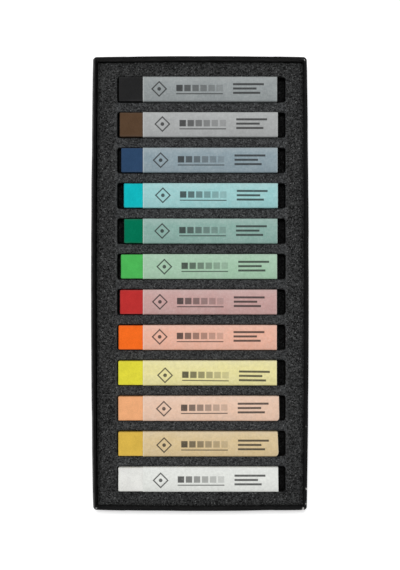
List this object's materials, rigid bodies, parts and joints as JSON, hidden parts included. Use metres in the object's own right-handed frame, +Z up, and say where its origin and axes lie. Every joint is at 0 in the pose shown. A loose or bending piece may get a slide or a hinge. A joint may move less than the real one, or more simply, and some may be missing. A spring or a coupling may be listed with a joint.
{
  "type": "soft pastel box",
  "caption": "Open shallow paper-covered tray whose foam insert holds a row of square soft pastel sticks, each in a paper wrapper with one end bare.",
  "frame": {"origin": "middle of the tray's underside", "axes": "+X along the sticks towards their wrapped ends, +Y along the row towards the first stick, +Z up out of the open tray"},
  "size_m": [0.0878, 0.1836, 0.0159],
  "materials": {
    "board": "bare grey board",
    "tape": "matt paper tape",
    "cover": "black paper, faint sheen",
    "foam": "fine open-cell foam",
    "pastel_black": "chalky",
    "paper_black": "matt thin paper",
    "pastel_brown": "chalky",
    "paper_brown": "matt thin paper",
    "pastel_navy": "chalky",
    "paper_navy": "matt thin paper",
    "pastel_turquoise": "chalky",
    "paper_turquoise": "matt thin paper",
    "pastel_dark_green": "chalky",
    "paper_dark_green": "matt thin paper",
    "pastel_green": "chalky",
    "paper_green": "matt thin paper",
    "pastel_red": "chalky",
    "paper_red": "matt thin paper",
    "pastel_orange": "chalky",
    "paper_orange": "matt thin paper",
    "pastel_yellow": "chalky",
    "paper_yellow": "matt thin paper",
    "pastel_peach": "chalky",
    "paper_peach": "matt thin paper",
    "pastel_ochre": "chalky",
    "paper_ochre": "matt thin paper",
    "pastel_white": "chalky",
    "paper_white": "matt thin paper"
  },
  "bodies": {
    "tray": {"tray_board": "board", "corner_stays": "tape", "cover_paper": "cover", "foam_base": "foam", "foam_insert": "foam"},
    "pastel_black": {"stick_black": "pastel_black", "wrapper_black": "paper_black"},
    "pastel_brown": {"stick_brown": "pastel_brown", "wrapper_brown": "paper_brown"},
    "pastel_navy": {"stick_navy": "pastel_navy", "wrapper_navy": "paper_navy"},
    "pastel_turquoise": {"stick_turquoise": "pastel_turquoise", "wrapper_turquoise": "paper_turquoise"},
    "pastel_dark_green": {"stick_dark_green": "pastel_dark_green", "wrapper_dark_green": "paper_dark_green"},
    "pastel_green": {"stick_green": "pastel_green", "wrapper_green": "paper_green"},
    "pastel_red": {"stick_red": "pastel_red", "wrapper_red": "paper_red"},
    "pastel_orange": {"stick_orange": "pastel_orange", "wrapper_orange": "paper_orange"},
    "pastel_yellow": {"stick_yellow": "pastel_yellow", "wrapper_yellow": "paper_yellow"},
    "pastel_peach": {"stick_peach": "pastel_peach", "wrapper_peach": "paper_peach"},
    "pastel_ochre": {"stick_ochre": "pastel_ochre", "wrapper_ochre": "paper_ochre"},
    "pastel_white": {"stick_white": "pastel_white", "wrapper_white": "paper_white"}
  },
  "joints": [
    {"name": "lift_black", "type": "slide", "parent": "tray", "child": "pastel_black", "axis": [0, 0, 1], "range_m": [0, 0.025]},
    {"name": "lift_brown", "type": "slide", "parent": "tray", "child": "pastel_brown", "axis": [0, 0, 1], "range_m": [0, 0.025]},
    {"name": "lift_navy", "type": "slide", "parent": "tray", "child": "pastel_navy", "axis": [0, 0, 1], "range_m": [0, 0.025]},
    {"name": "lift_turquoise", "type": "slide", "parent": "tray", "child": "pastel_turquoise", "axis": [0, 0, 1], "range_m": [0, 0.025]},
    {"name": "lift_dark_green", "type": "slide", "parent": "tray", "child": "pastel_dark_green", "axis": [0, 0, 1], "range_m": [0, 0.025]},
    {"name": "lift_green", "type": "slide", "parent": "tray", "child": "pastel_green", "axis": [0, 0, 1], "range_m": [0, 0.025]},
    {"name": "lift_red", "type": "slide", "parent": "tray", "child": "pastel_red", "axis": [0, 0, 1], "range_m": [0, 0.025]},
    {"name": "lift_orange", "type": "slide", "parent": "tray", "child": "pastel_orange", "axis": [0, 0, 1], "range_m": [0, 0.025]},
    {"name": "lift_yellow", "type": "slide", "parent": "tray", "child": "pastel_yellow", "axis": [0, 0, 1], "range_m": [0, 0.025]},
    {"name": "lift_peach", "type": "slide", "parent": "tray", "child": "pastel_peach", "axis": [0, 0, 1], "range_m": [0, 0.025]},
    {"name": "lift_ochre", "type": "slide", "parent": "tray", "child": "pastel_ochre", "axis": [0, 0, 1], "range_m": [0, 0.025]},
    {"name": "lift_white", "type": "slide", "parent": "tray", "child": "pastel_white", "axis": [0, 0, 1], "range_m": [0, 0.025]}
  ]
}
